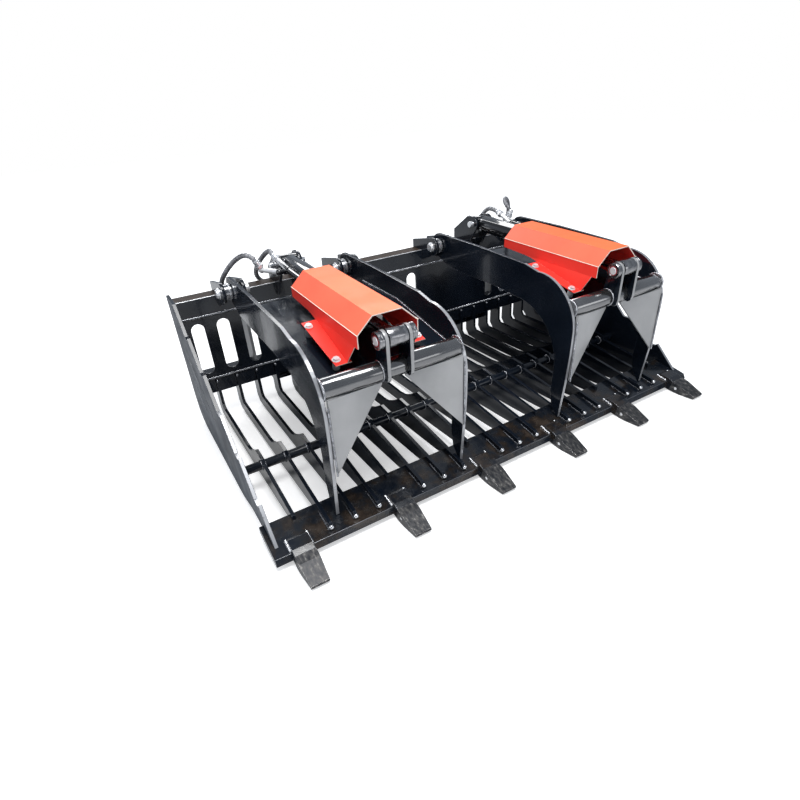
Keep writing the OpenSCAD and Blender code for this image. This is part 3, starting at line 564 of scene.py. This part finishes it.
# %% [markdown]
# No plate has a knife edge: grinding and paint leave a small radius, and that radius
# draws the bright lines round each plate. The CAD meshes are loose triangles, so a Weld
# modifier joins them before the Bevel rounds their edges, and the Bevel gives the new
# narrow faces a finish of their own. On the black plates, the guards and the top tube
# that finish is paler, a painted highlight; on the teeth it is worn bare steel.

# %% Softened edges
EDGE_RADIUS = 0.0011
GUARD_EDGE = 0.0013
TUBE_EDGE = 0.0022
TOOTH_EDGE = 0.0020
JOIN_GAP = 0.00002
SHARP_ANGLE = math.radians(28)


def soften(node, radius, corner=None):
    weld = node.modifiers.new("join", "WELD")
    weld.merge_threshold = JOIN_GAP
    bevel = node.modifiers.new("round", "BEVEL")
    bevel.width = radius
    bevel.segments = 2
    bevel.limit_method = "ANGLE"
    bevel.angle_limit = SHARP_ANGLE
    bevel.harden_normals = True
    if corner:
        node.data.materials.append(corner)
        bevel.material = len(node.data.materials) - 1


for name, node in nodes.items():
    slot = slot_of[name]
    if name.startswith("hoses"):
        continue
    if slot == "red_paint":
        soften(node, GUARD_EDGE, guard_edge_highlight)
    elif name == "top_tube":
        soften(node, TUBE_EDGE, tube_corner_highlight)
    elif slot == "cast_teeth":
        soften(node, TOOTH_EDGE, worn_metal)
    elif slot in ("black_paint", "wear_steel"):
        soften(node, EDGE_RADIUS, corner_highlight_coat)
    else:
        soften(node, EDGE_RADIUS)
print("softened edges")

# %% [markdown]
# Turned pieces, such as collars, nuts, ferrules and nipples, are drawn as half a section
# and spun round their line. The Screw modifier does that: with many steps it gives a
# round piece, and with six steps it gives a hexagon for a spanner.

# %% Helpers for pieces
ROUND_STEPS = 28
SMALL_STEPS = 14
HEX_STEPS = 6
TURNED_ANGLE = math.radians(30)


def chain(name, points):
    """A mesh that is only a line of points, to be spun round an axis."""
    mesh = bpy.data.meshes.new(name)
    mesh.from_pydata(points, [(i, i + 1) for i in range(len(points) - 1)], [])
    piece = bpy.data.objects.new(name, mesh)
    bpy.context.scene.collection.objects.link(piece)
    return piece


def pick(piece):
    bpy.ops.object.select_all(action="DESELECT")
    piece.select_set(True)
    bpy.context.view_layer.objects.active = piece


def apply_all(piece):
    pick(piece)
    for modifier in list(piece.modifiers):
        bpy.ops.object.modifier_apply(modifier=modifier.name)


def clean(piece, gap=0.00001):
    pick(piece)
    bpy.ops.object.mode_set(mode="EDIT")
    bpy.ops.mesh.select_all(action="SELECT")
    bpy.ops.mesh.remove_doubles(threshold=gap)
    bpy.ops.mesh.normals_make_consistent(inside=False)
    bpy.ops.object.mode_set(mode="OBJECT")


def turned(name, section, at, towards, steps=ROUND_STEPS):
    """Spins half a section, as (radius, height) in millimetres, round a line."""
    piece = chain(name, [(r / 1000, 0, h / 1000) for r, h in section])
    spin = piece.modifiers.new("spin", "SCREW")
    spin.steps = spin.render_steps = steps
    spin.use_merge_vertices = True
    apply_all(piece)
    clean(piece)
    turn = Vector((0, 0, 1)).rotation_difference(Vector(towards)).to_matrix().to_4x4()
    piece.data.transform(Matrix.Translation(at) @ turn)
    pick(piece)
    bpy.ops.object.shade_smooth_by_angle(angle=TURNED_ANGLE)
    return piece


def joined(name, pieces):
    bpy.ops.object.select_all(action="DESELECT")
    for piece in pieces:
        piece.select_set(True)
    bpy.context.view_layer.objects.active = pieces[0]
    if len(pieces) > 1:
        bpy.ops.object.join()
    pieces[0].name = name
    return pieces[0]


def ready(piece, finish, body):
    piece.data.materials.clear()
    piece.data.materials.append(finish)
    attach(piece, body)
    print(piece.name, len(piece.data.polygons), "faces on", body)
    return piece


# %% [markdown]
# A weld bead is a row of small overlapping scales. One scale is modelled from a low
# sphere, an Array modifier repeats it, and a Curve modifier lays the row along its seam.
# That is how the torch makes it, one drop after another.

# %% Weld beads
SCALE_STEP = 0.0034
RING_STEP = 0.0048
COVER_STEP = 0.0044
OVERLAP = 1.1


def seam_line(name, points, closed=False):
    curve = bpy.data.curves.new(name, "CURVE")
    curve.dimensions = "3D"
    spline = curve.splines.new("POLY")
    spline.points.add(len(points) - 1)
    for target, point in zip(spline.points, points):
        target.co = (*point, 1)
    spline.use_cyclic_u = closed
    line = bpy.data.objects.new(name, curve)
    bpy.context.scene.collection.objects.link(line)
    return line


def bead(name, points, radius, closed=False, step=SCALE_STEP):
    bpy.ops.object.select_all(action="DESELECT")
    bpy.ops.mesh.primitive_uv_sphere_add(segments=8, ring_count=5, radius=radius)
    scale = bpy.context.object
    scale.name = name
    bpy.ops.object.mode_set(mode="EDIT")
    bpy.ops.mesh.select_all(action="SELECT")
    bpy.ops.transform.resize(value=(step / radius * OVERLAP, 1.0, 1.0))
    bpy.ops.object.mode_set(mode="OBJECT")
    line = seam_line(name + "_seam", points, closed)
    row = scale.modifiers.new("row", "ARRAY")
    row.fit_type = "FIT_CURVE"
    row.curve = line
    row.use_relative_offset = False
    row.use_constant_offset = True
    row.constant_offset_displace = (step, 0, 0)
    lay = scale.modifiers.new("lay", "CURVE")
    lay.object = line
    apply_all(scale)
    bpy.data.objects.remove(line)
    pick(scale)
    bpy.ops.object.shade_smooth()
    return scale


def ring_points(x, at, radius, count=24):
    return [spot(x, at[0] + radius * math.cos(a), at[1] + radius * math.sin(a))
            for a in (2 * math.pi * i / count for i in range(count))]


# %% [markdown]
# The long seams hold the back plate between the top tube and the lower rail. Each is
# one bead along the whole inner width, about a centimetre across.

# %% Long seams of the bucket
INNER_HALF = 902.5
SEAM_R = 0.0055
plate_low, plate_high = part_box("back_plate")
PLATE_FRONT = plate_low[1] * 1000 - TO_REAR * 1000
PLATE_TOP, PLATE_BOTTOM = plate_high[2] * 1000, plate_low[2] * 1000

for name, up in (("upper", PLATE_TOP - 1.5), ("lower", PLATE_BOTTOM + 1.5)):
    ends = [spot(x, PLATE_FRONT - 1, up) for x in (-INNER_HALF, INNER_HALF)]
    ready(bead(f"{name}_plate_weld", ends, SEAM_R), weld_glint_metal, "bucket")

# %% [markdown]
# Every tine is welded at its top on the lower rail, and the long ones also at their tip
# on the cutting edge. A thick drop ends each weld. The drops at the tips show as bright
# knobs in the photograph.

# %% Drops at the tines
TINES = 21
BUCKET_W = 1829.0
PLATE_T = 12.0
TINE_PITCH = (BUCKET_W - PLATE_T) / (TINES + 1)
TIP_DROP = (9.0, 6.5, 8.5)
TOP_DROP = (7.5, 7.0, 6.0)
RIPPLE, RIPPLE_RATE = 0.0005, 1700


def drop(name, at, size):
    bpy.ops.object.select_all(action="DESELECT")
    bpy.ops.mesh.primitive_uv_sphere_add(segments=14, ring_count=8, radius=1)
    knob = bpy.context.object
    knob.name = name
    bpy.ops.object.mode_set(mode="EDIT")
    bpy.ops.mesh.select_all(action="SELECT")
    bpy.ops.transform.resize(value=tuple(s / 1000 for s in size))
    bpy.ops.transform.translate(value=tuple(at))
    bpy.ops.object.mode_set(mode="OBJECT")
    for corner in knob.data.vertices:
        corner.co.z += math.sin(corner.co.y * RIPPLE_RATE) * RIPPLE
    pick(knob)
    bpy.ops.object.shade_smooth()
    return knob


def tine_x(i):
    return (i - (TINES + 1) / 2) * TINE_PITCH


LONG_TINES = [i for i in range(1, TINES + 1) if (i - 1) % 4]
tips = [drop(f"tip_{i}", spot(tine_x(i), -4.0, 49), TIP_DROP) for i in LONG_TINES]
tops = [drop(f"top_{i}", spot(tine_x(i), 891, 181), TOP_DROP)
        for i in range(1, TINES + 1)]
# The tip drops get the brightest metal, a painted highlight.
ready(joined("tine_tip_drops", tips), drop_glint_metal, "bucket")
ready(joined("tine_top_drops", tops), weld_glint_metal, "bucket")

# %% [markdown]
# The cross rod passes through every tine and is welded all round on both its sides. The
# rings get the bright weld finish, a painted highlight, and show as a row of small dots
# along the rod.

# %% Rings on the cross rod
CROSS_ROD = (358.96, 91.0)
ROD_RING_R = 16.6
ROD_RING_POINTS = 18
ROD_WELD_R = 0.0032
BESIDE_TINE = 7.0
ring_welds = [bead("ring", ring_points(tine_x(i) + s * BESIDE_TINE, CROSS_ROD, ROD_RING_R,
                                       ROD_RING_POINTS), ROD_WELD_R, True, RING_STEP)
              for i in range(1, TINES + 1) for s in (-1, 1)]
ready(joined("cross_rod_welds", ring_welds), weld_glint_metal, "bucket")

# %% [markdown]
# Each long tine has a bead along both its sides on the cutting edge, and so has each
# tooth adapter. The cutting edge lies tilted, so its own lengths are turned into the
# bucket's.

# %% Beads on the cutting edge
EDGE_AT = (-15.0, 37.0)
EDGE_TILT = math.radians(10.2)
TOOTH_PITCH = 338.0
TEETH = 6
BESIDE_ADAPTER = 33.5
TINE_SEAM, TINE_SEAM_UP, TINE_WELD_R = (16, 92), 0.5, 0.0038
ADAPTER_SEAM, ADAPTER_SEAM_UP, ADAPTER_WELD_R = (2, 44), 1.0, 0.0056


def on_edge(x, along, up):
    return spot(x, EDGE_AT[0] + along * math.cos(EDGE_TILT) - up * math.sin(EDGE_TILT),
                EDGE_AT[1] + along * math.sin(EDGE_TILT) + up * math.cos(EDGE_TILT))


def tooth_x(i):
    return (i - (TEETH - 1) / 2) * TOOTH_PITCH


def pair_of_beads(x, beside, along, up, radius):
    """Two beads on the cutting edge, one on each side of a tine or an adapter."""
    return [bead("bead", [on_edge(x + s * beside, reach, up) for reach in along], radius)
            for s in (-1, 1)]


side_beads = [one for i in LONG_TINES
              for one in pair_of_beads(tine_x(i), BESIDE_TINE, TINE_SEAM, TINE_SEAM_UP,
                                       TINE_WELD_R)]
ready(joined("tine_side_beads", side_beads), dark_weld, "bucket")
adapter_beads = [one for i in range(TEETH)
                 for one in pair_of_beads(tooth_x(i), BESIDE_ADAPTER, ADAPTER_SEAM,
                                          ADAPTER_SEAM_UP, ADAPTER_WELD_R)]
ready(joined("adapter_beads", adapter_beads), drop_glint_metal, "bucket")

# %% [markdown]
# On each grapple the tube is welded round both ends to the arms, and the straps of the
# rod pin are welded round the tube. Round beads are laid on a ring of points. Below the
# tube, a straight bead holds each gusset to its arm.

# %% Seams of the grapples
TUBE_R = 30.0
STRAP_X = 38.0
WELD_R = 0.0036
STRAP_WELD_R = 0.0030
GUSSET_SEAM = (214, 440)

for name, side in SIDES.items():
    middle = side * GRAPPLE_X
    rings = []
    for step in (-1, 1):
        arm_end = ring_points(middle + step * (ARM_X - ARM_HALF - 2), TUBE, TUBE_R + 1)
        strap = ring_points(middle + step * (STRAP_X + 7), TUBE, TUBE_R + 0.5)
        x = middle + step * (ARM_X - ARM_HALF - 2.5)
        rings += [bead("ring", arm_end, WELD_R, True),
                  bead("ring", strap, STRAP_WELD_R, True),
                  bead("seam", [spot(x, 10, up) for up in GUSSET_SEAM], WELD_R)]
    ready(joined(f"tube_welds_{name}", rings), weld_glint_metal, f"grapple_{name}")

# %% [markdown]
# The cover is welded to both arms along its top face. The bead follows the cover's bend,
# so its points are the corners of that face, moved in by 2 mm.

# %% Cover seams
COVER_TOP = [(-0.366, 0.4706), (-0.0471, 0.5308), (0.205, 0.5318)]
COVER_SIDE = (ARM_X - ARM_HALF - 2.0) / 1000
COVER_WELD_R = 0.0034
for name, side in SIDES.items():
    middle = side * GRAPPLE_X / 1000
    seams = [bead("seam", [Vector((middle + s * COVER_SIDE, y, z)) for y, z in COVER_TOP],
                  COVER_WELD_R, step=COVER_STEP) for s in (-1, 1)]
    ready(joined(f"cover_seams_{name}", seams), weld_glint_metal, f"grapple_{name}")

# %% [markdown]
# A thin pale bead lies along the two lower folds of each guard, a painted highlight.

# %% Painted highlight lines on the guard folds
FOLD_FRONT = (61.3, 596.0)
FOLD_REAR = (542.0, 608.6)
FOLD_OUT = 98.0
FOLD_R = 0.0013
for name, side in SIDES.items():
    folds = [bead("fold", [spot(side * GRAPPLE_X + s * FOLD_OUT, *FOLD_FRONT),
                           spot(side * GRAPPLE_X + s * FOLD_OUT, *FOLD_REAR)], FOLD_R)
             for s in (-1, 1)]
    ready(joined(f"guard_fold_highlights_{name}", folds), guard_edge_highlight, f"grapple_{name}")

# %% [markdown]
# Each arm has a plated collar on both sides where it meets its lugs. The hinge pin ends
# in a plain cap on one side, and on the other in a head with a grease nipple.

# %% Collars, pin heads and grease nipples
COLLAR_SECTION = [(27.2, -4.0), (30.0, -4.0), (31.0, -3.0), (31.0, 3.0), (30.0, 4.0),
                  (27.2, 4.0), (27.2, -4.0)]
NIPPLE_SECTION = [(0, 0), (5.2, 0), (5.2, 3.5), (3.0, 4.2), (2.4, 6.0), (3.2, 7.2),
                  (3.0, 8.8), (1.2, 9.6), (0, 9.6)]
HEAD_SECTION = [(0, -2.0), (17.5, -2.0), (17.5, 1.6), (16.0, 3.0), (12.5, 3.0),
                (11.8, 2.2), (6.5, 2.2), (5.8, 2.6), (0, 2.6)]
CAP_SECTION = [(0, 0), (17.0, 0), (17.0, 14.0), (16.0, 15.5), (9.0, 15.5), (8.0, 14.6),
               (0, 14.6)]
COLLAR_OUT = 14.0
PIN_OUT = 56.0
CAP_OUT = 46.5

for name, side in SIDES.items():
    collars, heads, nipples = [], [], []
    for step in (-1, 1):
        x = side * GRAPPLE_X + step * ARM_X
        for offset in (-COLLAR_OUT, COLLAR_OUT):
            collars.append(turned("collar", COLLAR_SECTION, spot(x + offset, *HINGE), (1, 0, 0)))
        heads.append(turned("head", HEAD_SECTION, spot(x - PIN_OUT + 2, *HINGE), (-1, 0, 0)))
        nipples.append(turned("nipple", NIPPLE_SECTION, spot(x - PIN_OUT - 1, *HINGE),
                              (-1, 0, 0), SMALL_STEPS))
        heads.append(turned("cap", CAP_SECTION, spot(x + CAP_OUT, *HINGE), (1, 0, 0)))
    ready(joined(f"hinge_collars_{name}", collars), zinc, f"grapple_{name}")
    ready(joined(f"hinge_pin_heads_{name}", heads + nipples), pale_zinc, "bucket")

# %% [markdown]
# The rod pin passes two straps. Outside each strap sits a grooved boss of turned steel,
# and inside each boss the pin's end shows within a ring of red primer. Two grease nipples
# serve the pin.

# %% Bosses of the rod pin
BOSS_SECTION = [(13.0, 0), (25.5, 0), (26.5, 1.0), (26.5, 5.0), (25.2, 6.2), (25.2, 7.6),
                (26.5, 8.8), (26.5, 14.0), (25.0, 16.0), (18.0, 16.0), (17.0, 15.0),
                (13.0, 15.0), (13.0, 0)]
PRIMER_SECTION = [(13.2, 0), (15.6, 0), (15.6, 0.8), (13.2, 0.8), (13.2, 0)]
ROD_HEAD_SECTION = [(0, 0), (13.0, 0), (13.0, 2.2), (11.8, 3.2), (8.0, 3.2), (7.2, 2.4),
                    (4.5, 2.4), (3.6, 3.0), (0, 3.0)]
STRAP_HALF = 6.0
primer = gloss_paint("red_primer", (0.32, 0.02, 0.03), (0.46, 0.04, 0.05), (0.3, 0.4), 0.2)

for name, side in SIDES.items():
    middle = side * GRAPPLE_X
    face = STRAP_X + STRAP_HALF
    bosses = [turned("boss", BOSS_SECTION, spot(middle + s * face, *ROD_PIN), (s, 0, 0))
              for s in (-1, 1)]
    ready(joined(f"rod_pin_bosses_{name}", bosses), turned_steel, f"grapple_{name}")
    rings = [turned("primer", PRIMER_SECTION, spot(middle + s * (face + 15.0), *ROD_PIN),
                    (s, 0, 0)) for s in (-1, 1)]
    ready(joined(f"primer_rings_{name}", rings), primer, f"grapple_{name}")
    ends = [turned("end", ROD_HEAD_SECTION, spot(middle + s * (face + 14.0), *ROD_PIN),
                   (s, 0, 0)) for s in (-1, 1)]
    grease = [turned("nipple", NIPPLE_SECTION, spot(middle + 36, ROD_PIN[0] - 8, ROD_PIN[1] + 25),
                     (0, -0.3, 0.95), SMALL_STEPS),
              turned("nipple", NIPPLE_SECTION, spot(middle, ROD_PIN[0] - 22, ROD_PIN[1] - 16),
                     (0, -0.8, -0.6), SMALL_STEPS)]
    ready(joined(f"rod_pin_ends_{name}", ends + grease), pale_zinc, f"grapple_{name}")

# %% [markdown]
# Each cylinder has a feed hose and a return hose, which run to the block in the middle.
# Their routes repeat those of the CAD hoses, point by point in millimetres for the right
# side, and the left side mirrors them. Only the feed loop at the left has its own points.

# %% Routes of the hoses
LEFT_LOOP = [
    (600.2, 773.5, 640.8), (602.5, 774.1, 645.4), (606.5, 776, 652.5), (612, 783, 663),
    (620, 793, 670), (629, 803, 673), (639, 816, 671), (648, 831, 664), (659, 850, 652),
    (669, 871, 637), (679, 893, 619), (688, 916, 599), (696, 938, 578), (702, 957, 558),
    (703, 970, 541), (699, 979, 526), (690, 984, 513),
]
RIGHT_LOOP = [
    (600.2, 773.5, 640.8), (602.5, 774.1, 645.4), (603, 776, 652), (600.5, 780.5, 661),
    (597.5, 787, 670.5), (595.5, 795.5, 680), (598.5, 807, 690), (609, 821, 697),
    (627, 837, 696), (647, 852, 688), (667, 866, 674), (684, 880, 656), (699, 894, 635),
    (712, 909, 613), (720, 925, 591), (722, 942, 570), (721, 960, 551), (715, 974, 536),
    (706, 982, 521), (695, 985, 510),
]
LIP_RUN = [
    (678, 985, 503), (662, 985, 499), (645, 985, 497.2), (600, 985, 497.2),
    (500, 985, 497.2), (400, 985, 497.2), (300, 985, 497.2), (200, 985, 497.2),
    (100, 985, 497.2), (44.4, 985, 497.2),
]
RETURN_ROUTE = [
    (532.1, 765.4, 653.2), (533.6, 777, 656.5), (534, 792, 660.5), (533, 808, 664),
    (532, 825, 665.5), (532, 842, 663.5), (535, 860, 656), (540, 880, 644),
    (546, 900, 629), (552, 920, 612), (557, 940, 594), (560, 960, 574),
    (559, 978, 554), (553, 993, 535), (542, 1003, 518), (526, 1007, 503),
    (507, 1006, 490.5), (484, 1005, 483), (462, 1003.5, 480.6), (400, 1003.5, 480.6),
    (300, 1003.5, 480.6), (200, 1003.5, 480.6), (100, 1003.5, 480.6),
    (44.4, 1003.5, 480.6),
]


def routed(points, side):
    return [spot(side * x, along, up) for x, along, up in points]


def smooth_route(points, pieces=4):
    """Rounds a route by a curve that passes through all its points."""
    out = []
    for i in range(len(points) - 1):
        a = points[max(i - 1, 0)]
        b, c = points[i], points[i + 1]
        d = points[min(i + 2, len(points) - 1)]
        for k in range(pieces):
            t = k / pieces
            out.append(0.5 * (2 * b + (c - a) * t + (2 * a - 5 * b + 4 * c - d) * t * t
                              + (3 * b - a - 3 * c + d) * t ** 3))
    out.append(points[-1])
    return out


def route_length(points):
    return sum((q - p).length for p, q in zip(points, points[1:]))


# %% [markdown]
# A hose on such a machine is wound with a plastic spiral. One turn of the spiral is
# drawn as a short stepped line, the Screw modifier winds it for the whole length, and a
# Curve modifier bends the straight hose along its route.

# %% Wrapped hoses
HOSE_D = 0.020
WRAP_PITCH = 0.015
WRAP_STEPS = 14
GROOVE_DEPTH, WRAP_DEPTH = 0.0026, 0.0005
WRAP_GAP = 0.0001
WRAP_ANGLE = math.radians(50)


def wrapped_hose(name, points):
    length = route_length(points)
    turns = round(length / WRAP_PITCH)
    pitch = length / turns
    inner, outer = HOSE_D / 2 - GROOVE_DEPTH, HOSE_D / 2 - WRAP_DEPTH
    section = [(inner, 0, 0), (inner, 0, pitch * 0.16), (outer, 0, pitch * 0.30),
               (outer, 0, pitch * 0.76), (inner, 0, pitch * 0.94), (inner, 0, pitch)]
    hose = chain(name, section)
    wind = hose.modifiers.new("wind", "SCREW")
    wind.screw_offset = pitch
    wind.iterations = turns - 1
    wind.steps = wind.render_steps = WRAP_STEPS
    wind.use_merge_vertices = True
    line = seam_line(name + "_route", points)
    bend = hose.modifiers.new("bend", "CURVE")
    bend.object = line
    bend.deform_axis = "POS_Z"
    apply_all(hose)
    bpy.data.objects.remove(line)
    clean(hose, WRAP_GAP)
    pick(hose)
    bpy.ops.object.shade_smooth_by_angle(angle=WRAP_ANGLE)
    return hose, length


hoses = {}
for name, side in SIDES.items():
    loop = LEFT_LOOP if side < 0 else RIGHT_LOOP
    for which, points in (("feed", loop + LIP_RUN), ("return", RETURN_ROUTE)):
        path = smooth_route(routed(points, side))
        hose, length = wrapped_hose(f"hose_{which}_{name}", path)
        hoses[which, name] = (hose, path, length)
        hose.data.materials.append(wrap)
        print(hose.name, round(length, 3), "m,", len(hose.data.polygons), "faces")

# %% [markdown]
# A hose ends in a crimped ferrule and a nut. The ferrule is a sleeve with pressed rings,
# and the nut is a hexagon. They are plated, so they are bright. The ends at the barrel
# ride with the barrel, and those at the tee with the bucket.

# %% Hose ends
FERRULE_SECTION = [(8.6, -3), (12.0, -3), (12.6, -2), (12.6, 2), (11.6, 3), (11.6, 5),
                   (12.6, 6), (12.6, 9), (11.6, 10), (11.6, 12), (12.4, 13), (12.0, 16),
                   (10.2, 17), (8.6, 17), (8.6, -3)]
NUT_SECTION = [(9.0, -15), (13.2, -15), (15.0, -14), (15.0, -5), (13.2, -4), (9.0, -4),
               (9.0, -15)]


def hose_end(path, at_start=True):
    a, b = (path[0], path[4]) if at_start else (path[-1], path[-5])
    towards = (b - a).normalized()
    return [turned("ferrule", FERRULE_SECTION, a, towards),
            turned("nut", NUT_SECTION, a, towards, HEX_STEPS)]


for name, side in SIDES.items():
    barrel = f"cylinder_barrel_{name}"
    near, far = [], []
    for which in ("feed", "return"):
        hose, path, length = hoses[which, name]
        near += hose_end(path)
        far += hose_end(path, False)
    near = ready(joined(f"hose_ends_{name}", near), zinc, barrel)
    far = ready(joined(f"tee_ends_{name}", far), zinc, "bucket")
    for which in ("feed", "return"):
        hose, path, length = hoses[which, name]
        x = path[0].x
        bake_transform(hose)
        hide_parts(f"hoses_{name}")
